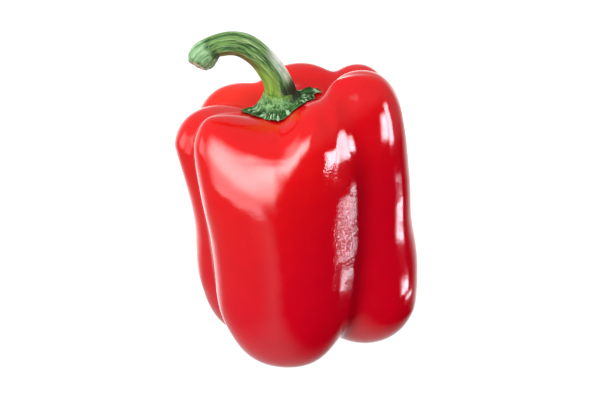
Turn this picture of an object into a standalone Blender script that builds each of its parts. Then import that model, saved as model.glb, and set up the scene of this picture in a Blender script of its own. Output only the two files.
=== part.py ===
"""Bell pepper standing on its four lobe tips: one fruit, its calyx and its hooked stem."""
import bpy
import bmesh
import numpy as np
from mathutils.bvhtree import BVHTree

MM = 0.001
NAME = "bell_pepper"

# Millimetres, measured from the middle of the fruit's foot; SHIFT centres the finished object on the axis.
SHIFT = np.array([-0.33, 1.52, -0.5])
FRUIT_CENTRE = np.array([0.0, 0.0, 50.0])

# Each lobe is an upright column. Its knots, lowest first, are height, x, y, half width in x, half width in y.
# Then the height where its top starts to close and how tall that closing dome is, and the same for its tip.
LOBES = {
    "front": (
        [(5, -4.2, -19, 22.8, 22), (46, -4.6, -13.5, 25.5, 23.5), (80, -7.6, -12.5, 28.4, 20)],
        (67, 30), (29, 29),
    ),
    "right": (
        [(14, 24.8, -3, 19.3, 19.5), (50, 21.5, -1, 19, 19), (85, 22.3, -2, 16.3, 15.5)],
        (70, 31.5), (26, 26),
    ),
    "right_rear": (
        [(20, 17.5, 11.5, 15.5, 15.5), (48, 20, 14, 17, 17), (80, 21.5, 18, 14, 14.5)],
        (66, 30.5), (30, 24),
    ),
    "rear": (
        [(20, 1, 17, 17, 17), (46, 1, 18, 19, 18), (75, 1.3, 20.5, 20, 14.5)],
        (64, 32), (24, 24),
    ),
    "left_rear": (
        [(20, -12.5, 10.5, 14.5, 14.5), (44, -16, 14, 17, 17), (70, -19.5, 19, 18.5, 14)],
        (60, 29), (30, 24),
    ),
    "left": (
        [(18, -16.8, 3, 17.8, 17), (46, -18.3, 3, 18.4, 18), (74, -25.6, 2, 17.3, 13.5)],
        (70, 17), (28, 28),
    ),
    "middle": (
        [(28, 0, 0, 19, 19), (50, 0, 0, 25, 25), (70, -3, 2, 20, 20)],
        (70, 17.5), (28, 14),
    ),
}
# How much taller or lower a dome is across the fruit, as x and rise: the front lobe has two shoulders
# with a dip between them, and the middle climbs towards the tall right side.
DOME_RISE = {
    "front": [(-37, 9), (-25, -4), (-7, -10), (1.5, -4), (8, 0.5), (14, 0.5), (20, -1.5)],
    "middle": [(-20, 0), (-5, 0), (10, 7.5), (20, 9.5)],
}
LOBE_SQUARENESS = 2.4
GROOVE_SOFTNESS = 1.0
FRUIT_AROUND = 80
FRUIT_RINGS = 44

GAP = 0.4
CALYX_CENTRE = np.array([-5.8, 2.0])
# The calyx's ragged edge: degrees round from the right, and how far the edge is from the middle there.
CALYX_EDGE = [
    (0, 12.8), (14, 15.5), (26, 14.0), (45, 10.5), (70, 9.0), (95, 10.5), (115, 9.0),
    (140, 8.5), (160, 9.5), (178, 12.4), (188, 13.6), (205, 11.5), (222, 12.6), (240, 11.8),
    (256, 13.2), (272, 14.2), (288, 12.8), (303, 13.4), (320, 11.8), (338, 13.2), (352, 12.0),
]
CALYX_THICKNESS = 1.1
COLLAR_RADIUS = 5.9
COLLAR_FLARE = 4.5
COLLAR_TOP = 91.2

# Stem centreline from the calyx to the cut end: place along it, x, y, height, radius.
STEM_KNOTS = [
    (0.0, -5.8, 2.0, 91.5, 5.5),
    (1.5, -5.8, 2.0, 93.0, 5.2),
    (8.0, -7.5, 1.4, 99.1, 4.7),
    (14.0, -10.1, 1.1, 104.3, 4.3),
    (20.0, -13.6, 0.8, 108.6, 4.0),
    (25.0, -17.6, 0.5, 111.0, 3.8),
    (29.5, -21.8, 0.2, 111.7, 3.7),
    (34.5, -26.6, -0.1, 110.8, 3.8),
    (38.5, -30.2, -0.4, 108.8, 4.2),
    (42.5, -33.2, -0.8, 105.6, 4.8),
]
STEM_RINGS = 30
STEM_AROUND_STEPS = 10

MATERIALS = {
    "fruit": ((0.62, 0.012, 0.020), 0.18),
    "calyx": ((0.045, 0.115, 0.030), 0.60),
    "stem": ((0.140, 0.300, 0.070), 0.50),
}


def smooth_curve(place, knots):
    """Values of a smooth curve through the knots, held beyond the first and last."""
    table = np.array(knots, float)
    at = table[:, 0]
    value = table[:, 1:]
    slope = np.empty_like(value)
    slope[1:-1] = (value[2:] - value[:-2]) / (at[2:] - at[:-2])[:, None]
    slope[0] = (value[1] - value[0]) / (at[1] - at[0])
    slope[-1] = (value[-1] - value[-2]) / (at[-1] - at[-2])
    held = np.clip(place, at[0], at[-1])
    span = np.clip(np.searchsorted(at, held, side="right") - 1, 0, len(at) - 2)
    width = (at[span + 1] - at[span])[..., None]
    t = (held - at[span])[..., None] / width
    start = value[span] * (2 * t**3 - 3 * t**2 + 1) + width * slope[span] * (t**3 - 2 * t**2 + t)
    end = value[span + 1] * (3 * t**2 - 2 * t**3) + width * slope[span + 1] * (t**3 - t**2)
    return start + end


def lobe_distance(points, name):
    """Distance, negative inside, from one lobe: an elliptic column with a squarish dome at each end."""
    knots, (dome_start, dome_height), (tip_start, tip_height) = LOBES[name]
    height = points[..., 2]
    column = smooth_curve(height, knots)
    if name in DOME_RISE:
        dome_height = dome_height + smooth_curve(points[..., 0], DOME_RISE[name])[..., 0]
    above = np.maximum(height - dome_start, 0) / dome_height
    below = np.maximum(tip_start - height, 0) / tip_height
    across = (points[..., 0] - column[..., 0]) / column[..., 2]
    along = (points[..., 1] - column[..., 1]) / column[..., 3]
    level = np.sqrt(across**2 + along**2)
    shape = (level**LOBE_SQUARENESS + (above + below)**LOBE_SQUARENESS)**(1 / LOBE_SQUARENESS)
    return (shape - 1) * 0.5 * (column[..., 2] + column[..., 3])


def skin_distance(points):
    """Distance, negative inside, from the whole fruit: the lobes joined with softened grooves."""
    each = np.stack([lobe_distance(points, name) for name in LOBES])
    nearest = each.min(0)
    return nearest - GROOVE_SOFTNESS * np.log(np.exp((nearest - each) / GROOVE_SOFTNESS).sum(0))


def find_skin(start, direction, near, far):
    """Distance from each start along its direction to the skin, halving the range between near and far."""
    low = np.full(start.shape[:-1], near)
    high = np.full(start.shape[:-1], far)
    for _ in range(24):
        middle = (low + high) / 2
        inside = skin_distance(start + middle[..., None] * direction) < 0
        low = np.where(inside, middle, low)
        high = np.where(inside, high, middle)
    return (low + high) / 2


def smooth_step(value):
    """Zero below 0, one above 1, and level at both."""
    t = np.clip(value, 0, 1)
    return t * t * (3 - 2 * t)


def unit_sphere(around, rings):
    """A unit sphere mesh and its corners as an array."""
    sphere = bmesh.new()
    bmesh.ops.create_uvsphere(sphere, u_segments=around, v_segments=rings, radius=1.0)
    corners = np.array([corner.co for corner in sphere.verts])
    return sphere, corners


def finish(name, sphere, corners):
    """Put the moved corners, in millimetres, back on the sphere mesh and make it an object."""
    placed = (corners + SHIFT) * MM
    for corner, place in zip(sphere.verts, placed):
        corner.co = place
    mesh = bpy.data.meshes.new(name)
    sphere.to_mesh(mesh)
    sphere.free()
    return dress(name, mesh)


def dress(name, mesh):
    """Make the named object round-shaded, give it its own material and put it in the collection."""
    colour, roughness = MATERIALS[name]
    material = bpy.data.materials.new(name)
    material.use_nodes = True
    shader = material.node_tree.nodes["Principled BSDF"]
    shader.inputs["Base Color"].default_value = (*colour, 1.0)
    shader.inputs["Roughness"].default_value = roughness
    shader.inputs["Metallic"].default_value = 0.0
    mesh.materials.append(material)
    mesh.polygons.foreach_set("use_smooth", [True] * len(mesh.polygons))
    thing = bpy.data.objects.new(name, mesh)
    group.objects.link(thing)
    return thing


def build_fruit():
    """A sphere with every corner carried out to the skin, and the four tips levelled to stand on."""
    sphere, corners = unit_sphere(FRUIT_AROUND, FRUIT_RINGS)
    directions = corners / np.linalg.norm(corners, axis=1)[:, None]
    reach = find_skin(np.broadcast_to(FRUIT_CENTRE, directions.shape), directions, 4.0, 80.0)
    skin = FRUIT_CENTRE + reach[:, None] * directions
    skin[:, 2] = np.maximum(skin[:, 2], -SHIFT[2])
    return finish("fruit", sphere, skin)


def skin_heights(fruit, x, y):
    """Heights, in millimetres, of the built fruit's upper skin under places in plan."""
    skin = BVHTree.FromObject(fruit, bpy.context.evaluated_depsgraph_get())
    above = (np.stack([x, y, np.full_like(x, 150.0)], -1) + SHIFT) * MM
    hits = [skin.ray_cast(place, (0.0, 0.0, -1.0))[0][2] for place in above]
    return np.array(hits) / MM - SHIFT[2]


def build_calyx(fruit):
    """A sphere pressed flat: its lower half follows the fruit's skin, its upper half rises to a collar."""
    sphere, corners = unit_sphere(72, 24)
    turn = np.arctan2(corners[:, 1], corners[:, 0])
    out = np.minimum(np.hypot(corners[:, 0], corners[:, 1]), 1.0)
    angles, radii = np.transpose(CALYX_EDGE)
    reach = out * np.interp(np.degrees(turn), angles, radii, period=360)
    x = CALYX_CENTRE[0] + reach * np.cos(turn)
    y = CALYX_CENTRE[1] + reach * np.sin(turn)
    under = skin_heights(fruit, x, y) + GAP
    edge = smooth_step((1 - out) * 4)
    leaf = under + CALYX_THICKNESS * edge
    collar = 1 - smooth_step((reach - COLLAR_RADIUS) / COLLAR_FLARE)
    over = leaf + (COLLAR_TOP - leaf) * collar * edge
    over = np.where(reach < COLLAR_RADIUS, COLLAR_TOP, over)
    height = np.where(corners[:, 2] > 1e-6, over, under)
    return finish("calyx", sphere, np.stack([x, y, height], -1))


def build_stem():
    """A bevelled curve along the stem's centreline, thicker at the calyx and at the cut end."""
    places = np.linspace(STEM_KNOTS[0][0], STEM_KNOTS[-1][0], STEM_RINGS)
    path = smooth_curve(places, STEM_KNOTS)
    curve = bpy.data.curves.new("stem_path", "CURVE")
    curve.dimensions = "3D"
    curve.bevel_depth = MM
    curve.bevel_resolution = STEM_AROUND_STEPS
    curve.use_fill_caps = True
    line = curve.splines.new("POLY")
    line.points.add(STEM_RINGS - 1)
    for point, (x, y, height, radius) in zip(line.points, path):
        point.co = (*((np.array([x, y, height]) + SHIFT) * MM), 1.0)
        point.radius = radius
    holder = bpy.data.objects.new("stem_path", curve)
    group.objects.link(holder)
    mesh = bpy.data.meshes.new_from_object(holder.evaluated_get(bpy.context.evaluated_depsgraph_get()))
    mesh.name = "stem"
    mesh.materials.clear()
    bpy.data.objects.remove(holder)
    closed = bmesh.new()
    closed.from_mesh(mesh)
    bmesh.ops.remove_doubles(closed, verts=closed.verts, dist=0.00001)
    bmesh.ops.recalc_face_normals(closed, faces=closed.faces)
    closed.to_mesh(mesh)
    closed.free()
    return dress("stem", mesh)


for thing in list(bpy.data.objects):
    bpy.data.objects.remove(thing)
group = bpy.data.collections.new(NAME)
bpy.context.scene.collection.children.link(group)

pepper = build_fruit()
build_calyx(pepper)
build_stem()
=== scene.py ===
"""Finish of a red bell pepper: glossy lobed skin, crinkled calyx and ribbed, hooked stem."""
import math

import bpy
import numpy as np
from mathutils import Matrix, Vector


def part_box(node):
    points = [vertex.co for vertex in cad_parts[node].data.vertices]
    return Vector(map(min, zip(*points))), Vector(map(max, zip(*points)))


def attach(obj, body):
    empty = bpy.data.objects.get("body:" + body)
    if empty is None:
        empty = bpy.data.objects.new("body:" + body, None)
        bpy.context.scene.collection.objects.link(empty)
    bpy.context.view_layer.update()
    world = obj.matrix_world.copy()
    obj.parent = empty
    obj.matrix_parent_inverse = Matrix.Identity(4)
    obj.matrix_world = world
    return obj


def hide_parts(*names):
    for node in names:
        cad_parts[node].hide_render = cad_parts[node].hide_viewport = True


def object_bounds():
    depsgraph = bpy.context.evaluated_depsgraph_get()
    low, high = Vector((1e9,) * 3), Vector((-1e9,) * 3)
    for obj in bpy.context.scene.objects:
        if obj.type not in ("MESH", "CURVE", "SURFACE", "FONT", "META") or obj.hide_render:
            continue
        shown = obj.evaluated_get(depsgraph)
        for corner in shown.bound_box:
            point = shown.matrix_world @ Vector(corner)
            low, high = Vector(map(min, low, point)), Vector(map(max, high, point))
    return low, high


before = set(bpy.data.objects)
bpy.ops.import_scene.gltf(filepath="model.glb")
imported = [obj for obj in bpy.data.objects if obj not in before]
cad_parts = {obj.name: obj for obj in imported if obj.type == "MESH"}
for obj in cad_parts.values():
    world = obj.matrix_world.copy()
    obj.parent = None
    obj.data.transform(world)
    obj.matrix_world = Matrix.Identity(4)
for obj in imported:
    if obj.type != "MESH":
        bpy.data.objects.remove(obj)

CAD_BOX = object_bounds()
MM = 0.001

# ---------------------------------------------------------------- the fruit's shape, in millimetres
# Lengths are taken from the middle of the fruit's foot, before the whole plant is set on the CAD fruit.
FRUIT_CENTRE = np.array([0.0, 0.0, 50.0])
FOOT_LEVEL = 0.5

# Each lobe is an upright column. Its knots, lowest first, are height, x, y, half width in x, half width in y.
# Then the height where its top starts to close and how tall that closing dome is, and the same for its tip.
LOBES = {
    "front": (
        [(5, -4.2, -19, 22.8, 22), (46, -4.6, -13.5, 25.5, 23.5), (80, -7.6, -12.5, 28.4, 20)],
        (67, 30), (29, 29),
    ),
    "right": (
        [(14, 24.8, -3, 19.3, 19.5), (50, 21.5, -1, 19, 19), (85, 22.3, -2, 16.3, 15.5)],
        (70, 31.5), (26, 26),
    ),
    "right_rear": (
        [(20, 17.5, 11.5, 15.5, 15.5), (48, 20, 14, 17, 17), (80, 21.5, 18, 14, 14.5)],
        (66, 30.5), (30, 24),
    ),
    "rear": (
        [(20, 1, 17, 17, 17), (46, 1, 18, 19, 18), (75, 1.3, 20.5, 20, 14.5)],
        (64, 32), (24, 24),
    ),
    "left_rear": (
        [(20, -12.5, 10.5, 14.5, 14.5), (44, -16, 14, 17, 17), (70, -19.5, 19, 18.5, 14)],
        (60, 29), (30, 24),
    ),
    "left": (
        [(18, -16.8, 3, 17.8, 17), (46, -18.3, 3, 18.4, 18), (74, -25.6, 2, 17.3, 13.5)],
        (70, 17), (28, 28),
    ),
    "middle": (
        [(28, 0, 0, 19, 19), (50, 0, 0, 25, 25), (70, -3, 2, 20, 20)],
        (70, 17.5), (28, 14),
    ),
}
# How much taller or lower a dome is across the fruit, as x and rise: the front lobe has two shoulders
# with a dip between them, and the middle climbs towards the tall right side.
DOME_RISE = {
    "front": [(-37, 9), (-25, -4), (-7, -10), (1.5, -4), (8, 0.5), (14, 0.5), (20, -1.5)],
    "middle": [(-20, 0), (-5, 0), (10, 7.5), (20, 9.5)],
}
LOBE_SQUARENESS = 2.4
# Grooves are this soft, and this much softer on the right side and again on its shoulder.
GROOVE_SOFTNESS = 1.0
RIGHT_SOFTER = 1.3
SHOULDER_SOFTER = 1.6
# The right side is right of this x and in front of this y, its shoulder is above this height, and each comes
# in over its own fade.
RIGHT_START = 6
FRONT_START = 1
SIDE_FADE = 8
SHOULDER_START = 62
SHOULDER_FADE = 20
# Broad swellings and, where the rise is negative, hollows: x, y, height, reach, upright reach, rise.
SWELLINGS = [
    (-16, -34, 64, 20, 13, 0.8),
    (-27, -24, 62, 10, 12, 0.9),
    (-9, -36, 64, 10, 9, 0.35),
    (-6, -34, 75, 9, 9, 0.2),
    (-6.5, -30, 79, 3.5, 7, 0.22),
    (-5, -38, 20, 20, 16, -1.0),
    (5, -27, 5, 14, 7, 0.9),
    (-22, -24, 12, 8, 8, -0.5),
    (-37, 3, 28, 14, 12, 1.2),
    (11, -27, 81, 6, 6, 0.6),
    (11, -29, 75, 7, 8, 0.45),
    (16, -28, 44, 8, 5, 0.26),
    (17, -23, 75, 10, 8, -0.45),
    (17, -24, 64, 9, 9, 0.32),
    (17, -25, 40, 9, 9, 0.1),
    (16, -26, 33, 9, 4, 0.1),
    (41, -2, 80, 12, 11, -0.9),
    (35, -12, 82, 8, 8, 0.25),
    (34, -14, 72, 9, 6, 0.2),
    (37, -14, 61, 10, 12, 0.6),
    (38, -15, 44, 10, 10, -0.35),
    (36, -14, 50, 10, 22, 0.7),
    (42, -3, 33, 14, 11, 1.1),
    (37, -16, 24, 11, 13, 0.35),
]
# Unevenness, here and below, is how far it rises, its wave length and its random seed.
BROAD_WAVES = (0.07, 15.0, 3)
FINE_WAVES = (0.02, 6.0, 4)
# The broad waves are longer upright: a height counts only this much of itself.
BROAD_UPRIGHT = 0.7
# A place is in a groove where its distances from the two nearest lobes differ by less than about this.
FOLD_WIDTH = 4.0
# Patches where the wax is finely pebbled: x, y, height, reach, upright reach, strength.
PEBBLED_PATCHES = [
    (17, -26, 52, 10, 13, 1.0),
    (10, -27, 77, 5, 4, 0.4),
    (38, -13, 45, 9, 12, 0.15),
    (37, -12, 72, 9, 8, 0.3),
]
# Patches of painted light, a brighter orange red, in the same way.
LIT_SHOULDER_PATCHES = [
    (-22, 16, 90, 16, 14, 0.8),
]
SKIN_AROUND = 440
SKIN_ROWS = 220
# The skin is looked for between these distances from the centre, and this many times the range is halved.
INNER_REACH = 4.0
OUTER_REACH = 80.0
HALVINGS = 22
# Under the calyx it is looked for upwards from this height, between these distances.
CROWN_START = 60.0
CROWN_RANGE = (5.0, 55.0)

# ---------------------------------------------------------------- the calyx, in the same millimetres
CALYX_CENTRE = np.array([-5.8, 2.0])
# The calyx's edge: degrees round from the right, and how far the edge is from the middle there.
CALYX_EDGE = [
    (0, 12.8), (14, 15.5), (26, 14.0), (45, 10.5), (70, 9.0), (95, 10.5), (115, 9.0),
    (140, 8.5), (160, 9.5), (178, 12.4), (188, 13.6), (205, 11.5), (222, 12.6), (240, 11.8),
    (256, 13.2), (272, 14.2), (288, 12.8), (303, 13.4), (320, 11.8), (338, 13.2), (352, 12.0),
]
CALYX_AROUND = 300
CALYX_ROWS_UNDER = 20
CALYX_ROWS_OVER = 64
CALYX_GAP = 0.25
# The leaf is this thick near its edge, this much thicker inside, and closes over this share of the way out.
EDGE_THICKNESS = 0.6
INSIDE_THICKER = 0.5
CLOSING_SHARE = 1 / 6
# Nicks in the edge, and waves in how far it lifts, are on a circle of radius 1. It lifts from this share of
# the way out, by this much.
EDGE_NICKS = [(0.45, 0.16, 11), (0.25, 0.07, 12)]
CURL_START = 0.55
CURL_HEIGHT = 0.35
CURL_WAVES = (0.35, 0.5, 13)
# Crinkles in the leaf.
CRINKLES = [(0.42, 2.6, 14), (0.22, 1.2, 15)]
# Radial ridges on the leaf, and pleats on the collar: their height, how many go round, how they wander.
SPOKES = (0.24, 22, (2.5, 9.0, 16))
PLEATS = (0.4, 19, (1.5, 1.2, 17))
# The leaf's markings are drawn out along its rays: they lie as on a ring that starts this far out and is
# only this share of the leaf's width.
RAY_START = 8.0
RAY_LENGTH = 0.35
# The collar round the stem's foot: the cup's floor, the top of its lip, how far out the lip and the flare
# beyond it reach, and how sharply the flare bends. Then the lip's width and that of the cup's wall.
CUP_FLOOR = 90.6
LIP_TOP = 93.6
LIP_REACH = 5.35
FLARE_WIDTH = 5.2
FLARE_BEND = 2.6
LIP_WIDTH = 0.05
CUP_WALL = 0.5

# ---------------------------------------------------------------- the stem, in the same millimetres
# Stem centreline from the calyx to the cut end: place along it, x, y, height, radius.
STEM_KNOTS = [
    (0.0, -5.6, 2.0, 91.5, 5.8),
    (1.5, -5.6, 2.0, 93.0, 5.5),
    (8.0, -7.6, 1.4, 99.1, 4.75),
    (14.0, -10.6, 1.1, 103.8, 4.35),
    (20.0, -14.2, 0.8, 107.8, 4.2),
    (25.0, -18.0, 0.5, 110.4, 4.1),
    (29.5, -21.9, 0.2, 111.3, 3.95),
    (34.5, -26.6, -0.1, 110.5, 3.85),
    (38.5, -30.0, -0.4, 108.5, 4.4),
    (41.5, -31.9, -0.7, 106.8, 4.8),
    (44.2, -33.4, -0.9, 104.5, 4.4),
    (46.2, -34.5, -1.1, 102.7, 3.4),
]
STEM_ROWS = 220
STEM_AROUND = 144
# Ribs and finer ridges: height, how many go round, how far they twist along the stem, where they start.
STEM_RIBS = [(0.27, 6, 1.2, 0.5), (0.13, 11, -2.0, 2.0)]
STEM_RIDGES = [(0.06, 23, 1.5, 0.0), (0.04, 37, 4.0, 0.0)]
# The ribs have this share of their height at the foot, and all of it from this share of the way along.
RIBS_AT_FOOT = 0.4
RIBS_FULL_FROM = 0.3
# The wall lies this far inside the knots' radius, to make room for its ribs.
RIB_ALLOWANCE = 0.2
# Dents, on a stem of radius 1 that is this long.
STEM_DENTS = (0.10, 0.9, 18)
DENTED_LENGTH = 4
# The fold behind the swollen end: its depth, its place along the stem, its reach, and how far it goes round.
PINCH_DEPTH = 0.55
PINCH_PLACE = 36.0
PINCH_REACH = 1.6
PINCH_ROUND = 0.5
# The cut end: how much shorter the nearer side is, and the share of the way along where that begins.
CUT_SLANT = 2.6
SLANT_START = 0.9
CUT_ROWS = 24
# The cut face sinks inside its rim and again at its middle: each depth, then the share of the radius where it
# starts and that over which it comes in.
FACE_SINKS = [(0.55, 1.0, 0.22), (0.5, 0.45, 0.25)]
# The cut face's roughness, on a face of this radius, and the share of the radius that its rim takes.
FACE_ROUGHNESS = (0.12, 1.6, 21)
FACE_RADIUS = 5
RIM_SHARE = 0.12


# ================================================================ curves and meshes
# The waves of an unevenness are between these shares of its wave length.
WAVE_SPREAD = (0.7, 1.4)


def smooth_curve(place, knots):
    """Values of a smooth curve through the knots, held beyond the first and last.

    Between two knots it is the cubic that passes both, sloping at each like the chord across its neighbours.
    """
    table = np.array(knots, float)
    at = table[:, 0]
    value = table[:, 1:]
    slope = np.empty_like(value)
    slope[1:-1] = (value[2:] - value[:-2]) / (at[2:] - at[:-2])[:, None]
    slope[0] = (value[1] - value[0]) / (at[1] - at[0])
    slope[-1] = (value[-1] - value[-2]) / (at[-1] - at[-2])
    held = np.clip(place, at[0], at[-1])
    span = np.clip(np.searchsorted(at, held, side="right") - 1, 0, len(at) - 2)
    width = (at[span + 1] - at[span])[..., None]
    t = (held - at[span])[..., None] / width
    start = value[span] * (2 * t**3 - 3 * t**2 + 1) + width * slope[span] * (t**3 - 2 * t**2 + t)
    end = value[span + 1] * (3 * t**2 - 2 * t**3) + width * slope[span + 1] * (t**3 - t**2)
    return start + end


def smooth_step(value):
    """Zero below 0, one above 1, and 3t^2 - 2t^3 between."""
    t = np.clip(value, 0, 1)
    return t * t * (3 - 2 * t)


def unit(vectors):
    """The vectors, one to a row, each divided by its own length."""
    return vectors / np.linalg.norm(vectors, axis=1)[:, None]


def once_round(count):
    """The angles of the corners that go once round a ring."""
    return np.arange(count) * 2 * np.pi / count


def ripple(points, rise, size, seed, waves=14):
    """Smooth unevenness between about -rise and rise: sine waves that cross it in random directions.

    Each wave's length is near size, in the points' own units. Their sum is divided by twice the root of half
    their count.
    """
    draw = np.random.default_rng(seed)
    direction = unit(draw.normal(size=(waves, points.shape[-1])))
    length = size * draw.uniform(*WAVE_SPREAD, waves)
    phase = draw.uniform(0, 2 * np.pi, waves)
    turns = points @ (2 * np.pi * direction / length[:, None]).T + phase
    return rise * (np.sin(turns).sum(-1) / np.sqrt(waves / 2) / 2)


def ripples(points, several):
    """Several unevennesses added up."""
    return sum(ripple(points, *one) for one in several)


def felt(points, patches):
    """How strongly patches are felt: the sum of their strengths, each times exp(-(distance / reach)^2)."""
    total = np.zeros(points.shape[:-1])
    for x, y, height, reach, upright_reach, strength in patches:
        apart = (points - [x, y, height]) / [reach, reach, upright_reach]
        total = total + strength * np.exp(-(apart**2).sum(-1))
    return total


def closed_surface(name, rows, first, last, shift, material):
    """A closed, round-shaded mesh from rows of corners that each go once round, ended by two poles.

    Corners come in millimetres, before the shift. Corner (row, turn) joins (row, turn + 1), then
    (row + 1, turn + 1) and (row + 1, turn), and each pole fans to its row.
    """
    count, around = rows.shape[:2]
    corners = (np.concatenate([rows.reshape(-1, 3), [first, last]]) + shift) * MM
    number = np.arange(count * around).reshape(count, around)
    after = np.roll(number, -1, axis=1)
    first_pole = np.full(around, count * around)
    sides = np.stack([number[:-1], after[:-1], after[1:], number[1:]], -1).reshape(-1, 4)
    first_fan = np.stack([first_pole, after[0], number[0]], -1)
    last_fan = np.stack([number[-1], after[-1], first_pole + 1], -1)
    mesh = bpy.data.meshes.new(name)
    mesh.from_pydata(corners.tolist(), [], sides.tolist() + first_fan.tolist() + last_fan.tolist())
    mesh.polygons.foreach_set("use_smooth", np.ones(len(mesh.polygons), bool))
    mesh.materials.append(material)
    piece = bpy.data.objects.new(name, mesh)
    bpy.context.scene.collection.objects.link(piece)
    return piece


def note(piece, name, values):
    """Keep one number or one three-part place for every corner of the piece, for its material to read."""
    kind, field = ("FLOAT", "value") if values.ndim == 1 else ("FLOAT_VECTOR", "vector")
    attribute = piece.data.attributes.new(name, kind, "POINT")
    attribute.data.foreach_set(field, values.astype(np.float32).ravel())


# ================================================================ the fruit
def lobe_distance(points, name):
    """Distance, negative inside, from one lobe: an elliptic column with a squarish dome at each end.

    How far out a place is on the column and how far into a dome, both as shares, are raised to the
    squareness, added and rooted. That less 1, times the mean half width, is the distance.
    """
    knots, (dome_start, dome_height), (tip_start, tip_height) = LOBES[name]
    height = points[..., 2]
    column = smooth_curve(height, knots)
    if name in DOME_RISE:
        dome_height = dome_height + smooth_curve(points[..., 0], DOME_RISE[name])[..., 0]
    above = np.maximum(height - dome_start, 0) / dome_height
    below = np.maximum(tip_start - height, 0) / tip_height
    across = (points[..., 0] - column[..., 0]) / column[..., 2]
    along = (points[..., 1] - column[..., 1]) / column[..., 3]
    level = np.sqrt(across**2 + along**2)
    shape = (level**LOBE_SQUARENESS + (above + below)**LOBE_SQUARENESS)**(1 / LOBE_SQUARENESS)
    return (shape - 1) * 0.5 * (column[..., 2] + column[..., 3])


def skin_distance(points):
    """Distance, negative inside, from the whole fruit: the lobes joined with softened grooves.

    It is minus the softness times the logarithm of the sum of exp(-distance / softness) over the lobes.
    """
    each = np.stack([lobe_distance(points, name) for name in LOBES])
    nearest = each.min(0)
    right = smooth_step((points[..., 0] - RIGHT_START) / SIDE_FADE)
    right = right * smooth_step((FRONT_START - points[..., 1]) / SIDE_FADE)
    shoulder = smooth_step((points[..., 2] - SHOULDER_START) / SHOULDER_FADE)
    softness = GROOVE_SOFTNESS + right * (RIGHT_SOFTER + SHOULDER_SOFTER * shoulder)
    return nearest - softness * np.log(np.exp((nearest - each) / softness).sum(0))


def find_skin(start, direction, near, far):
    """Distance from each start along its direction to the skin, halving the range between near and far."""
    low = np.full(start.shape[:-1], near)
    high = np.full(start.shape[:-1], far)
    for _ in range(HALVINGS):
        middle = (low + high) / 2
        inside = skin_distance(start + middle[..., None] * direction) < 0
        low = np.where(inside, middle, low)
        high = np.where(inside, high, middle)
    return (low + high) / 2


def skin_relief(points):
    """How far the skin stands out from the smooth lobes, in millimetres: swellings and a faint unevenness."""
    broad = ripple(points * [1.0, 1.0, BROAD_UPRIGHT], *BROAD_WAVES)
    return broad + ripple(points, *FINE_WAVES) + felt(points, SWELLINGS)


def fold_depth(points):
    """How near each place is to the floor of a groove, from 0 to 1.

    It is exp(-(gap / width)^2), where the gap is the difference between the two nearest lobes' distances.
    """
    each = np.sort(np.stack([lobe_distance(points, name) for name in LOBES if name != "middle"]), axis=0)
    return np.exp(-(((each[1] - each[0]) / FOLD_WIDTH) ** 2))


def carry_out(start, direction, near, far):
    """Places on the skin along the directions from the starts: on the smooth lobes, and with the relief."""
    smooth = start + find_skin(start, direction, near, far)[..., None] * direction
    return smooth, smooth + skin_relief(smooth)[..., None] * direction


def skin_height(x, y):
    """Height of the fruit's upper skin over places in plan, near the calyx."""
    start = np.stack([x, y, np.full_like(x, CROWN_START)], -1)
    return carry_out(start, np.array([0.0, 0.0, 1.0]), *CROWN_RANGE)[1][..., 2]


def skin_corners():
    """The corners of the fruit's skin, without and with its relief, and last its two poles.

    Each is carried out from the centre along its direction to the lobes. Directions go once round for each
    row, and the rows rise evenly in angle from straight down to straight up. The tips are levelled.
    """
    rise = (np.arange(1, SKIN_ROWS) / SKIN_ROWS - 0.5) * np.pi
    rise, turn = np.meshgrid(rise, once_round(SKIN_AROUND), indexing="ij")
    direction = np.stack([np.cos(rise) * np.cos(turn), np.cos(rise) * np.sin(turn), np.sin(rise)], -1)
    direction = np.concatenate([direction.reshape(-1, 3), [[0, 0, -1], [0, 0, 1]]])
    start = np.broadcast_to(FRUIT_CENTRE, direction.shape)
    smooth, skin = carry_out(start, direction, INNER_REACH, OUTER_REACH)
    smooth[:, 2] = np.maximum(smooth[:, 2], FOOT_LEVEL)
    skin[:, 2] = np.maximum(skin[:, 2], FOOT_LEVEL)
    return smooth, skin


def place_on_cad(smooth):
    """How far, in millimetres, the plant moves, so that its skin is centred on the CAD fruit and as low."""
    low, high = (np.array(corner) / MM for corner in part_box("fruit"))
    shift = (low + high - smooth.min(0) - smooth.max(0)) / 2
    shift[2] = low[2] - FOOT_LEVEL
    return shift


def build_fruit(smooth, skin, shift, material):
    """The fruit's skin, which notes where it is pebbled, where a patch of painted light falls, and where it
    is folded in.
    """
    rows = skin[:-2].reshape(SKIN_ROWS - 1, SKIN_AROUND, 3)
    piece = closed_surface("fruit_skin", rows, skin[-2], skin[-1], shift, material)
    note(piece, "pebbled", np.minimum(felt(smooth, PEBBLED_PATCHES), 1))
    note(piece, "lit_shoulder", np.minimum(felt(smooth, LIT_SHOULDER_PATCHES), 1))
    note(piece, "fold", fold_depth(smooth))
    return piece


# ================================================================ the calyx
def wavering(turn, points, ridges):
    """Ridges that go round, height * cos(count * turn + wander), where the wander is an unevenness."""
    height, count, wander = ridges
    return height * np.cos(count * turn + ripple(points, *wander))


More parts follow.
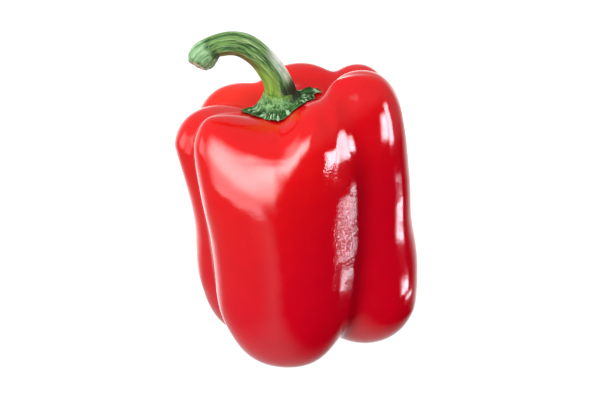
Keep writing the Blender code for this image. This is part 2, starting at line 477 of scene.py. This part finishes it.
def build_calyx(shift, material):
    """The calyx: rows run from its middle out along the underside, round the edge and back over the top.

    The underside follows the skin a fine gap above it. The top is the underside plus the leaf's thickness,
    with radial ridges and crinkles. Near the middle it rises, as a power of the way in, to a flared collar
    whose lip circles the stem's foot. The piece notes the collar, how far out each corner is as a share, and
    its place on the ring that the markings lie on.
    """
    under = np.arange(1, CALYX_ROWS_UNDER + 1) / CALYX_ROWS_UNDER
    over = 1 - np.arange(1, CALYX_ROWS_OVER) / CALYX_ROWS_OVER
    out, turn = np.meshgrid(np.concatenate([under, over]), once_round(CALYX_AROUND), indexing="ij")
    top = np.arange(out.shape[0])[:, None] >= CALYX_ROWS_UNDER
    angles, radii = np.transpose(CALYX_EDGE)
    circle = np.stack([np.cos(turn), np.sin(turn)], -1)
    edge = np.interp(np.degrees(turn), angles, radii, period=360) + ripples(circle, EDGE_NICKS)
    reach = out * edge
    plan = CALYX_CENTRE + reach[..., None] * circle
    rim = smooth_step((out - CURL_START) / (1 - CURL_START))
    curl = rim * (CURL_HEIGHT + ripple(circle, *CURL_WAVES))
    rest = skin_height(plan[..., 0], plan[..., 1]) + CALYX_GAP + curl
    inside = smooth_step((1 - out) / CLOSING_SHARE)
    texture = ripples(plan, CRINKLES) + wavering(turn, plan, SPOKES)
    leaf = rest + (EDGE_THICKNESS + (INSIDE_THICKER + texture) * inside) * inside
    flare = np.clip(1 - (reach - LIP_REACH) / FLARE_WIDTH, 0, 1) ** FLARE_BEND
    pleats = wavering(turn, circle, PLEATS) * np.sqrt(flare) * (1 - flare)
    surface = leaf + (LIP_TOP - leaf) * flare + pleats
    cup = smooth_step((LIP_REACH - LIP_WIDTH - reach) / CUP_WALL)
    surface = surface + (CUP_FLOOR - surface) * cup
    height = np.where(top, surface, rest)
    rows = np.concatenate([plan, height[..., None]], -1)
    low_pole = [*CALYX_CENTRE, skin_height(*CALYX_CENTRE[:, None])[0] + CALYX_GAP]
    high_pole = [*CALYX_CENTRE, CUP_FLOOR]
    piece = closed_surface("calyx_leaf", rows, low_pole, high_pole, shift, material)
    note(piece, "collar", np.append(flare.ravel(), [1, 1]))
    note(piece, "edge", np.append(out.ravel(), [0, 0]))
    ring = circle * (RAY_START + RAY_LENGTH * reach[..., None])
    drawn_out = np.append(ring, np.zeros(turn.shape + (1,)), axis=-1)
    note(piece, "rays", np.concatenate([drawn_out.reshape(-1, 3), np.zeros((2, 3))]) * MM)
    return piece


# ================================================================ the stem
def ribbed(turn, share, ribs):
    """Ribs that twist slowly: the sum of height * cos(count * turn + twist * share along + start)."""
    return sum(height * np.cos(count * turn + twist * share + start) for height, count, twist, start in ribs)


def stem_wall(turn, share, radius):
    """How far the stem's wall is from its centreline, for each row and turn.

    It is the stem's own radius plus ribs, ridges and dents, less a pinch behind the swollen end: the depth
    times exp(-(distance along / reach)^2), on the inner side only.
    """
    height = RIBS_AT_FOOT + (1 - RIBS_AT_FOOT) * smooth_step(share / RIBS_FULL_FROM)
    ribs = ribbed(turn, share, STEM_RIBS) * height + ribbed(turn, share, STEM_RIDGES)
    tube = np.stack(np.broadcast_arrays(np.cos(turn), np.sin(turn), DENTED_LENGTH * share), -1)
    apart = (share * STEM_KNOTS[-1][0] - PINCH_PLACE) / PINCH_REACH
    pinch = PINCH_DEPTH * np.exp(-(apart**2)) * smooth_step(np.sin(turn) + PINCH_ROUND)
    return radius[:, None] + ribs + ripple(tube, *STEM_DENTS) - pinch - RIB_ALLOWANCE


def build_stem(shift, material):
    """The stem: a ribbed ring carried along the centreline, then rows closing in over the cut face.

    The end is cut on a slant, nearer side shorter. Over the cut face the rows shrink to the middle and sink
    inside the rim. The piece notes its cut face, and where each corner would be on a straight stem.
    """
    length = STEM_KNOTS[-1][0]
    place = np.linspace(0, length, STEM_ROWS)[:, None]
    path = smooth_curve(place[:, 0], STEM_KNOTS)
    line, radius = path[:, :3], path[:, 3]
    travel = unit(np.gradient(line, axis=0))
    side = unit(np.array([0.0, 1.0, 0.0]) - travel * travel[:, 1:2])
    up = np.cross(travel, side)
    turn = once_round(STEM_AROUND)
    circle = np.stack([np.cos(turn), np.sin(turn)], -1)
    share = place / length
    ring = stem_wall(turn, share, radius)
    spread = circle[:, :1] * side[:, None] + circle[:, 1:] * up[:, None]
    slant = -CUT_SLANT * smooth_step((share - SLANT_START) / (1 - SLANT_START)) * (1 - np.cos(turn)) / 2
    wall = line[:, None] + ring[..., None] * spread + slant[..., None] * travel[:, None]
    inward = np.linspace(1, 0, CUT_ROWS + 1)[1:-1, None]
    shrunk = inward * ring[-1]
    sink = sum(depth * smooth_step((start - inward) / width) for depth, start, width in FACE_SINKS)
    sink = sink + ripple(inward[..., None] * circle * FACE_RADIUS, *FACE_ROUGHNESS)
    level = CUT_SLANT * (inward * (np.cos(turn) - 1) - (1 - inward)) / 2
    face = line[-1] + shrunk[..., None] * spread[-1] + (level - sink)[..., None] * travel[-1]
    deepest = CUT_SLANT / 2 + sum(depth for depth, _, _ in FACE_SINKS)
    last = line[-1] - deepest * travel[-1]
    piece = closed_surface("stem_hook", np.concatenate([wall, face]), line[0], last, shift, material)
    inside_rim = np.broadcast_to(smooth_step((1 - inward) / RIM_SHARE), shrunk.shape)
    cut = np.concatenate([np.zeros_like(ring), inside_rim])
    note(piece, "cut", np.append(cut.ravel(), [0, 1]))
    out = np.concatenate([ring, shrunk])
    along = np.concatenate([place, length + 0 * inward])
    straight = np.stack(np.broadcast_arrays(out * np.cos(turn), out * np.sin(turn), along), -1).reshape(-1, 3)
    note(piece, "straight", np.concatenate([straight, [[0, 0, 0], [0, 0, length]]]) * MM)
    return piece


# ================================================================ colours and finishes
# A tissue is a mottle of two sizes of noise: its coarse and fine scales, per metre, its contrast, and its
# dark and light colours. A grain is a tissue without its colours. A fade is where it starts and where it is
# full, then its low and high where they aren't 0 and 1.
BLACK = (0, 0, 0)
WHITE = (1, 1, 1)
TISSUE_DETAIL = 3.0

# The skin: its finish on the shader's own sockets, its crimson, and the layers over that. Painted light turns
# the red a lighter orange red by the height plus this much of x, towards the key light, so lower down on the
# left.
SKIN_FINISH = {
    "Subsurface Weight": 0.12,
    "Subsurface Radius": (1.0, 0.2, 0.12),
    "Subsurface Scale": 0.004,
}
CRIMSON_TISSUE = (45.0, 160.0, 2.2, (0.56, 0.0001, 0.010), (0.64, 0.0004, 0.012))
# Painted light: this lighter orange red is laid where the key light falls, leaning with x.
KEY_LIT_ORANGE_RED_TISSUE = (45.0, 160.0, 2.2, (0.68, 0.0015, 0.006), (0.75, 0.0050, 0.0050))
KEY_LIT_LEAN = -0.9
SKIN_LAYERS = [
    # Painted light: a lighter orange red on the upper left, where the key light falls.
    (KEY_LIT_ORANGE_RED_TISSUE, [("key_lit", 0.025, 0.090)]),
    # Painted shade: deeper red in the grooves, less so on the left and near the top, where the key light
    # falls.
    ((0.26, 0.0001, 0.006), [("fold",), ("x", -0.012, 0.006, 0.15, 0.75), ("z", 0.090, 0.060, 0.20, 1.0)]),
    # Painted light: a brighter orange red patch that lifts the shade on the left rear shoulder.
    ((0.98, 0.030, 0.012), [("lit_shoulder",)]),
]
# The gloss, then the fine peel and its pebbles: their scales, how much the pebbles outweigh the peel, and the
# height of the peel in metres.
GLOSS_GRAIN = (130.0, 700.0, 2.0)
SKIN_ROUGHNESS = (0.0, 1.0, 0.08, 0.13)
PEEL_SCALE = 900.0
PEBBLE_SCALE = 1500.0
PEBBLE_HEIGHT = 8.5
SKIN_BUMP = 0.000012

# The calyx: a dark green leaf, the flecks that its dabs and bumps follow, and the layers over it.
CALYX_FINISH = {"Specular IOR Level": 0.2}
LEAF_TISSUE = (300.0, 900.0, 6.0, (0.005, 0.022, 0.005), (0.038, 0.135, 0.026))
FLECK_GRAIN = (420.0, 900.0, 7.0)
CALYX_LAYERS = [
    # Mint dabs.
    ((0.43, 0.68, 0.40), [("flecks", 0.66, 0.97, 0.0, 0.85)]),
    # The streaky collar, and its yellower lip.
    ((420.0, 1200.0, 6.0, (0.030, 0.120, 0.025), (0.300, 0.560, 0.220)), [("collar", 0.02, 0.35)]),
    ((500.0, 1400.0, 4.0, (0.090, 0.240, 0.025), (0.300, 0.500, 0.100)), [("collar", 0.55, 1.0)]),
    # Painted shade: nearly black on the collar, right of the stem.
    ((0.010, 0.018, 0.005), [("x", -0.0045, -0.0010, 0.0, 0.92), ("collar", 0.05, 0.30)]),
    # The edge is paler, and browned at its rim.
    ((0.16, 0.30, 0.12), [("edge", 0.93, 0.975, 0.0, 0.6)]),
    ((0.05, 0.03, 0.012), [("edge", 0.975, 1.0, 0.0, 0.9)]),
]
LEAF_ROUGHNESS = (0.0, 1.0, 0.75, 0.45)
LEAF_BUMP = 0.00028

# The stem: lengthwise streaks of bark, and the layers over it. Along is from the calyx to the cut end, and
# inner is towards the inside of the bend, both in metres on a straight stem. Streaks are drawn out along the
# stem, where a length counts only this much of itself.
STEM_FINISH = {"Specular IOR Level": 0.35}
STREAKS_ALONG = 0.09
BARK_TISSUE = (600.0, 1600.0, 8.0, (0.008, 0.055, 0.008), (0.155, 0.315, 0.070))
LINE_GRAIN = (700.0, 1900.0, 7.0)
STEM_LAYERS = [
    # Fine pale lines.
    ((0.42, 0.62, 0.28), [("lines", 0.72, 1.0, 0.0, 0.75)]),
    # Yellower inside the bend, low on the stem.
    (
        (500.0, 1400.0, 4.0, (0.100, 0.250, 0.014), (0.330, 0.540, 0.080)),
        [("inner", -0.0022, 0.0022), ("along", 0.020, 0.011)],
    ),
    # Painted highlight: a whitish sheen on the outer side, above the calyx.
    (
        (700.0, 2000.0, 8.0, (0.360, 0.580, 0.340), (0.950, 1.000, 0.950)),
        [("inner", -0.0019, -0.0034), ("along", 0.0045, 0.0085), ("along", 0.020, 0.012)],
    ),
    # The swollen end, a bluer green.
    (
        (420.0, 1300.0, 5.5, (0.025, 0.140, 0.028), (0.420, 0.680, 0.360)),
        [("along", 0.0365, 0.039, 0.0, 0.9)],
    ),
    # Olive brown under the arch.
    (
        (600.0, 1600.0, 5.0, (0.060, 0.052, 0.010), (0.360, 0.320, 0.100)),
        [("along", 0.011, 0.019), ("along", 0.0375, 0.034), ("inner", 0.0010, 0.0028)],
    ),
    # Painted shade: nearly black where the outer side meets the calyx.
    ((0.008, 0.012, 0.003), [("inner", 0.0004, -0.0026), ("along", 0.0062, 0.0032, 0.0, 0.96)]),
    # Painted shade: dark in the fold behind the swollen end.
    (
        (0.008, 0.045, 0.010),
        [("along", 0.0345, 0.036), ("along", 0.0385, 0.0370), ("inner", -0.0012, 0.0008, 0.0, 0.85)],
    ),
]
# The cut face: cream pith inside a brown rim.
PITH_TISSUE = (700.0, 1800.0, 3.0, (0.360, 0.290, 0.140), (0.820, 0.790, 0.580))
RIM_LAYERS = [((0.10, 0.055, 0.02), [("cut", 0.0, 0.2), ("cut", 0.75, 0.4)])]
BARK_ROUGHNESS = (0.0, 1.0, 0.62, 0.36)
BARK_BUMP = 0.00022


def add(tree, kind, inputs=None, **settings):
    """Add one node: settings are its options, inputs fill its sockets with values or other nodes' outputs."""
    made = tree.nodes.new(kind)
    for name, value in settings.items():
        setattr(made, name, value)
    for socket, value in (inputs or {}).items():
        if isinstance(value, bpy.types.NodeSocket):
            tree.links.new(value, made.inputs[socket])
        else:
            made.inputs[socket].default_value = value
    return made


def plain_material(name, inputs):
    """A material, its node tree and its Principled shader, whose sockets take the given values."""
    material = bpy.data.materials.new(name)
    material.use_nodes = True
    shader = material.node_tree.nodes["Principled BSDF"]
    for socket, value in inputs.items():
        shader.inputs[socket].default_value = value
    return material, material.node_tree, shader


def maths(tree, operation, *values):
    """One arithmetic node over numbers or other nodes' outputs."""
    return add(tree, "ShaderNodeMath", dict(enumerate(values)), operation=operation).outputs[0]


def plus(tree, total, *others):
    """The sum of numbers or other nodes' outputs."""
    for other in others:
        total = maths(tree, "ADD", total, other)
    return total


def times(tree, product, *others):
    """The product of numbers or other nodes' outputs."""
    for other in others:
        product = maths(tree, "MULTIPLY", product, other)
    return product


def blend_colours(tree, factor, first, second):
    """The first colour where the factor is 0 and the second where it is 1."""
    colours = [value if isinstance(value, bpy.types.NodeSocket) else (*value, 1) for value in (first, second)]
    made = add(tree, "ShaderNodeMix", {"Factor": factor, 6: colours[0], 7: colours[1]}, data_type="RGBA")
    return made.outputs[2]


def fade(tree, value, start, end, low=0.0, high=1.0):
    """Low where the value is before start and high past end, eased between them; start may be the larger."""
    made = add(
        tree, "ShaderNodeMapRange",
        {"Value": value, "From Min": start, "From Max": end, "To Min": low, "To Max": high},
        interpolation_type="SMOOTHSTEP",
    )
    return made.outputs["Result"]


def noise(tree, place, scale, detail=0.0):
    """Smooth noise between 0 and 1 over the place, at this scale per metre."""
    return add(tree, "ShaderNodeTexNoise", {"Vector": place, "Scale": scale, "Detail": detail}).outputs[0]


def noted(tree, name, kind="Fac"):
    """What a piece's attribute of that name says at each place."""
    return add(tree, "ShaderNodeAttribute", attribute_name=name).outputs[kind]


def object_place(tree):
    """Each place on the piece, and its three parts."""
    place = add(tree, "ShaderNodeTexCoord").outputs["Object"]
    return place, add(tree, "ShaderNodeSeparateXYZ", {"Vector": place}).outputs


def mottle_group():
    """A node group for plant tissue: two sizes of noise give a mixed colour and a height between 0 and 1.

    The height is the coarse and the fine noise averaged, then stretched about its middle by the contrast.
    """
    group = bpy.data.node_groups.new("plant_mottle", "ShaderNodeTree")
    for name, kind in (
        ("Place", "NodeSocketVector"), ("Coarse Scale", "NodeSocketFloat"), ("Fine Scale", "NodeSocketFloat"),
        ("Contrast", "NodeSocketFloat"), ("Dark", "NodeSocketColor"), ("Light", "NodeSocketColor"),
    ):
        group.interface.new_socket(name, in_out="INPUT", socket_type=kind)
    group.interface.new_socket("Colour", in_out="OUTPUT", socket_type="NodeSocketColor")
    group.interface.new_socket("Height", in_out="OUTPUT", socket_type="NodeSocketFloat")
    given = group.nodes.new("NodeGroupInput").outputs
    coarse, fine = (
        noise(group, given["Place"], given[scale], TISSUE_DETAIL) for scale in ("Coarse Scale", "Fine Scale")
    )
    middle = times(group, plus(group, coarse, fine), 0.5)
    stretched = times(group, maths(group, "SUBTRACT", middle, 0.5), given["Contrast"])
    height = add(group, "ShaderNodeMath", {0: stretched, 1: 0.5}, operation="ADD", use_clamp=True).outputs[0]
    colour = blend_colours(group, height, given["Dark"], given["Light"])
    taken = group.nodes.new("NodeGroupOutput")
    group.links.new(colour, taken.inputs["Colour"])
    group.links.new(height, taken.inputs["Height"])


def mottle(tree, place, coarse, fine, contrast, dark=BLACK, light=WHITE):
    """The colour and height outputs of one placed mottle group."""
    made = add(tree, "ShaderNodeGroup", node_tree=bpy.data.node_groups["plant_mottle"])
    tree.links.new(place, made.inputs["Place"])
    for name, value in (("Coarse Scale", coarse), ("Fine Scale", fine), ("Contrast", contrast)):
        made.inputs[name].default_value = value
    made.inputs["Dark"].default_value = (*dark, 1)
    made.inputs["Light"].default_value = (*light, 1)
    return made.outputs["Colour"], made.outputs["Height"]


def paint(tree, colour, place, layers, measures):
    """Lay the layers over a colour in turn, each as strongly as the product of its fades.

    A layer is one colour or a tissue, and its fades. Each fade names the measure that it reads, and a name
    alone is that measure as it stands.
    """
    for over, fades in layers:
        if len(over) > len(WHITE):
            over, _ = mottle(tree, place, *over)
        shown = [fade(tree, measures[name], *edges) if edges else measures[name] for name, *edges in fades]
        colour = blend_colours(tree, times(tree, *shown), colour, over)
    return colour


def put(tree, shader, colour, roughness, heights, distance):
    """Link a finish to the shader: its colour, its roughness, and the summed heights as one bump."""
    height = plus(tree, *heights)
    bump = add(tree, "ShaderNodeBump", {"Height": height, "Strength": 1.0, "Distance": distance})
    tree.links.new(colour, shader.inputs["Base Color"])
    tree.links.new(roughness, shader.inputs["Roughness"])
    tree.links.new(bump.outputs["Normal"], shader.inputs["Normal"])


def skin_material():
    """Waxy red skin: crimson blotches, orange red painted light, painted groove shade, a fine peel grain,
    pebbles and uneven gloss.
    """
    material, tree, shader = plain_material("pepper_skin", SKIN_FINISH)
    place, parts = object_place(tree)
    measures = {
        "x": parts["X"],
        "z": parts["Z"],
        # Painted light: how far towards the key-lit upper left each place is.
        "key_lit": plus(tree, parts["Z"], times(tree, parts["X"], KEY_LIT_LEAN)),
        # Painted shade goes by how near a groove's floor each place is.
        "fold": noted(tree, "fold"),
        # Painted light: where the brighter patch on the shoulder falls.
        "lit_shoulder": noted(tree, "lit_shoulder"),
    }
    crimson, _ = mottle(tree, place, *CRIMSON_TISSUE)
    colour = paint(tree, crimson, place, SKIN_LAYERS, measures)
    _, gloss = mottle(tree, place, *GLOSS_GRAIN)
    pebbles = times(tree, noise(tree, place, PEBBLE_SCALE), noted(tree, "pebbled"), PEBBLE_HEIGHT)
    heights = [noise(tree, place, PEEL_SCALE), pebbles]
    put(tree, shader, colour, fade(tree, gloss, *SKIN_ROUGHNESS), heights, SKIN_BUMP)
    return material


def calyx_material():
    """Crinkled calyx: dark green leaf with mint dabs drawn out along its rays and a browning rim.

    Inside is a streaky green collar, painted nearly black as shade on its right, beside the stem.
    """
    material, tree, shader = plain_material("calyx_green", CALYX_FINISH)
    place, parts = object_place(tree)
    leaf, lumps = mottle(tree, place, *LEAF_TISSUE)
    _, flecks = mottle(tree, noted(tree, "rays", "Vector"), *FLECK_GRAIN)
    measures = {
        "x": parts["X"],
        "flecks": flecks,
        "collar": noted(tree, "collar"),
        "edge": noted(tree, "edge"),
    }
    colour = paint(tree, leaf, place, CALYX_LAYERS, measures)
    put(tree, shader, colour, fade(tree, flecks, *LEAF_ROUGHNESS), [lumps, flecks], LEAF_BUMP)
    return material


def stem_material():
    """Ribbed stem: lengthwise streaks of dark green to mint, with a painted whitish sheen on the outer side.

    It is yellower inside the bend and olive brown under the arch. Painted shade makes it nearly black where
    the outer side meets the calyx and dark in the fold behind the swollen end. It is cream where it is cut.
    """
    material, tree, shader = plain_material("stem_green", STEM_FINISH)
    straight = noted(tree, "straight", "Vector")
    parts = add(tree, "ShaderNodeSeparateXYZ", {"Vector": straight}).outputs
    drawn_out = {0: straight, 1: (1.0, 1.0, STREAKS_ALONG)}
    streaky = add(tree, "ShaderNodeVectorMath", drawn_out, operation="MULTIPLY").outputs[0]
    bark, streaks = mottle(tree, streaky, *BARK_TISSUE)
    _, lines = mottle(tree, streaky, *LINE_GRAIN)
    measures = {
        "inner": parts["Y"],
        "along": parts["Z"],
        "lines": lines,
        "cut": noted(tree, "cut"),
    }
    bark = paint(tree, bark, streaky, STEM_LAYERS, measures)
    pith, dents = mottle(tree, object_place(tree)[0], *PITH_TISSUE)
    colour = blend_colours(tree, measures["cut"], bark, pith)
    colour = paint(tree, colour, streaky, RIM_LAYERS, measures)
    put(tree, shader, colour, fade(tree, streaks, *BARK_ROUGHNESS), [streaks, lines, dents], BARK_BUMP)
    return material


# ================================================================ building
def build_pepper():
    """Every piece, set on the CAD pepper and riding on its one body."""
    mottle_group()
    smooth, skin = skin_corners()
    shift = place_on_cad(smooth)
    fruit = build_fruit(smooth, skin, shift, skin_material())
    calyx = build_calyx(shift, calyx_material())
    stem = build_stem(shift, stem_material())
    for piece, node, slot in (
        (fruit, "fruit", "skin"), (calyx, "calyx", "calyx_green"), (stem, "stem", "stem_green"),
    ):
        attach(piece, "root")
        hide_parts(node)


# ================================================================ floor, light and camera
# Directions are degrees: azimuth round from the viewer's side (90 is right, -90 left), elevation above level.
# What the gloss mirrors: each panel's azimuth and elevation edges, fading in from the first of a pair to the
# second and out from the third to the fourth, and its brightness, where 1 is white.
PANELS = {
    "softbox_left": ((-94, -56, -30, -8), (-6, 20, 24, 66), 11.6),
    "softbox_right": ((-30, -8, -3, 10), (-6, 30, 38, 66), 13.6),
    "softbox_left_skirt": ((-94, -66, -24, -8), (-19, -14, 4, 24), 4.3),
    "softbox_right_skirt": ((-24, -8, -5, 6), (-13, 0, 4, 24), 4.3),
    "left_strip": ((-114, -107, -94, -86), (-14, -4, 6, 18), 2.2),
}
# Panes of a cool window on the right, in the same way.
WINDOW = {
    "left_pane": ((51, 60, 68, 72), (-5, 0, 9, 15), 22.0),
    "right_pane": ((69.5, 73, 80, 87), (-9.5, -6, 16, 24), 18.0),
    "lower_panes": ((74, 87, 99, 104), (-22.8, -21.5, -20.6, -19.6), 21.0),
    "sill": ((93, 101, 112, 120), (-27.5, -26.6, -25.4, -24.8), 11.0),
}
WINDOW_TINT = (0.95, 1.0, 1.12)
# A glow behind, in the same way, on both sides alike: nothing is further round than 180.
REAR_GLOW = ((112, 150, 181, 182), (-36, -26, -14, 20), 1.5)
# The plain surroundings: their brightness, where they fade in above, and where they fade in to the sides and
# down to below level there.
ROOM_BRIGHTNESS = 0.42
ROOM_ABOVE = (18, 42)
ROOM_ASIDE = (60, 92)
ROOM_ASIDE_LOW = (-14.0, -4.0)
# The bright table below level: it fades out to the right, further left the further forward it is, and dims on
# the left. Its places are how far across they are for each step down, and the step is at least this.
TABLE_BELOW = (-10.0, -16.0)
TABLE_EDGE = (0.9, 0.0)
TABLE_SLANT = 0.3
TABLE_BRIGHTNESS = 0.85
TABLE_DIM_LEFT = (-1.6, -0.2, 0.3, 1.0)
LEAST_DROP = 0.02
# The soft light that shades the plant's own colours: where it comes from, the cosines of the angle from there
# that it fades in between, and its brightness at each.
KEY_DIRECTION = (-0.60, -0.45, 0.66)
KEY_REACH = (-0.62, 1.0)
KEY_BRIGHTNESS = (0.02, 1.78)
# A weaker light fills in from the right.
FILL_DIRECTION = (0.98, 0.17, 0.0)
FILL_REACH = (0.0, 1.0)
FILL_BRIGHTNESS = (0.0, 0.28)


def panel(tree, azimuth, elevation, across, upright, brightness):
    """One soft-edged panel of light: the product of its four fading edges and its brightness."""
    sides = times(tree, fade(tree, azimuth, *across[:2]), fade(tree, azimuth, across[3], across[2]))
    ends = times(tree, fade(tree, elevation, *upright[:2]), fade(tree, elevation, upright[3], upright[2]))
    return times(tree, sides, ends, brightness)


def mirrored_table(tree, x, forward, z, elevation):
    """How bright the table is in each direction: where a line that way meets it, a step below."""
    drop = maths(tree, "MAXIMUM", times(tree, z, -1.0), LEAST_DROP)
    across = maths(tree, "DIVIDE", x, drop)
    slanted = plus(tree, across, times(tree, maths(tree, "DIVIDE", forward, drop), TABLE_SLANT))
    table = times(tree, fade(tree, slanted, *TABLE_EDGE), TABLE_BRIGHTNESS)
    return times(tree, table, fade(tree, across, *TABLE_DIM_LEFT), fade(tree, elevation, *TABLE_BELOW))


def mirrored_studio(tree, direction):
    """The colour that the gloss mirrors in each direction: room, glow, table and panels added up."""
    parts = add(tree, "ShaderNodeSeparateXYZ", {"Vector": direction})
    x, y, z = (parts.outputs[axis] for axis in "XYZ")
    forward = times(tree, y, -1.0)
    azimuth = maths(tree, "DEGREES", maths(tree, "ARCTAN2", x, forward))
    elevation = maths(tree, "DEGREES", maths(tree, "ARCSINE", z))
    turned = maths(tree, "ABSOLUTE", azimuth)
    aside = times(tree, fade(tree, turned, *ROOM_ASIDE), fade(tree, elevation, *ROOM_ASIDE_LOW))
    room = maths(tree, "MAXIMUM", fade(tree, elevation, *ROOM_ABOVE), aside)
    glow = panel(tree, turned, elevation, *REAR_GLOW)
    table = mirrored_table(tree, x, forward, z, elevation)
    panels = [panel(tree, azimuth, elevation, *edges) for edges in PANELS.values()]
    total = plus(tree, times(tree, room, ROOM_BRIGHTNESS), glow, table, *panels)
    window = plus(tree, *(panel(tree, azimuth, elevation, *edges) for edges in WINDOW.values()))
    neutral = add(tree, "ShaderNodeVectorMath", {0: WHITE, "Scale": total}, operation="SCALE")
    cool = add(tree, "ShaderNodeVectorMath", {0: WINDOW_TINT, "Scale": window}, operation="SCALE")
    both = add(tree, "ShaderNodeVectorMath", {0: neutral.outputs[0], 1: cool.outputs[0]}, operation="ADD")
    return both.outputs[0]


def towards(tree, direction, other):
    """The cosine of the angle between each direction and one other."""
    both = {0: direction, 1: other}
    return add(tree, "ShaderNodeVectorMath", both, operation="DOT_PRODUCT").outputs["Value"]


def build_light():
    """The studio: white where the camera looks past the pepper, and panels in its gloss.

    The plant's own colours are shaded by a soft key light, which grows evenly with the cosine of the angle
    from it, and by a weaker fill.
    """
    world = bpy.data.worlds.new("studio")
    bpy.context.scene.world = world
    world.use_nodes = True
    world.cycles.sampling_method = "NONE"
    tree = world.node_tree
    direction = add(tree, "ShaderNodeTexCoord").outputs["Generated"]
    mirrored = mirrored_studio(tree, direction)
    key = add(tree, "ShaderNodeMapRange", {
        "Value": towards(tree, direction, KEY_DIRECTION),
        "From Min": KEY_REACH[0], "From Max": KEY_REACH[1],
        "To Min": KEY_BRIGHTNESS[0], "To Max": KEY_BRIGHTNESS[1],
    }).outputs["Result"]
    fill = fade(tree, towards(tree, direction, FILL_DIRECTION), *FILL_REACH, *FILL_BRIGHTNESS)
    rays = add(tree, "ShaderNodeLightPath").outputs
    lit = blend_colours(tree, rays["Is Diffuse Ray"], mirrored, plus(tree, key, fill))
    seen = blend_colours(tree, rays["Is Camera Ray"], lit, WHITE)
    tree.links.new(seen, tree.nodes["Background"].inputs["Color"])


# The floor: half its width, in metres, and a finish that is nearly all glow.
FLOOR_HALF = 3.0
FLOOR_FINISH = {
    "Base Color": (0.04, 0.04, 0.04, 1),
    "Roughness": 0.9,
    "Emission Color": (*WHITE, 1),
    "Emission Strength": 0.98,
}


def build_floor():
    """A wide white floor that the gloss doesn't mirror; it glows, so that its shadows stay faint."""
    mesh = bpy.data.meshes.new("floor")
    corners = [(FLOOR_HALF * x, FLOOR_HALF * y, 0) for x, y in ((-1, -1), (1, -1), (1, 1), (-1, 1))]
    mesh.from_pydata(corners, [], [(0, 1, 2, 3)])
    mesh.materials.append(plain_material("white_floor", FLOOR_FINISH)[0])
    floor = bpy.data.objects.new("floor", mesh)
    bpy.context.scene.collection.objects.link(floor)
    floor.visible_glossy = False
    floor.visible_diffuse = False


# The camera: how steeply it looks down, how far off it is, its lens, and how far from the middle of the
# pepper's box it looks.
VIEW_ELEVATION = math.radians(25)
VIEW_DISTANCE = 0.6
VIEW_LENS = 101.9
LOOK_OFF_MIDDLE = Vector((0.87, 1.52, -5.05)) * MM


def build_camera():
    """A long lens on the pepper's front, looking down at it."""
    low, high = CAD_BOX
    look_at = (low + high) / 2 + LOOK_OFF_MIDDLE
    data = bpy.data.cameras.new("camera")
    data.lens = VIEW_LENS
    camera = bpy.data.objects.new("camera", data)
    bpy.context.scene.collection.objects.link(camera)
    away = Vector((0, -math.cos(VIEW_ELEVATION), math.sin(VIEW_ELEVATION)))
    camera.location = look_at + VIEW_DISTANCE * away
    camera.rotation_euler = away.to_track_quat("Z", "Y").to_euler()
    bpy.context.scene.camera = camera
    bpy.context.scene.view_settings.view_transform = "Standard"


build_pepper()
build_floor()
build_light()
build_camera()
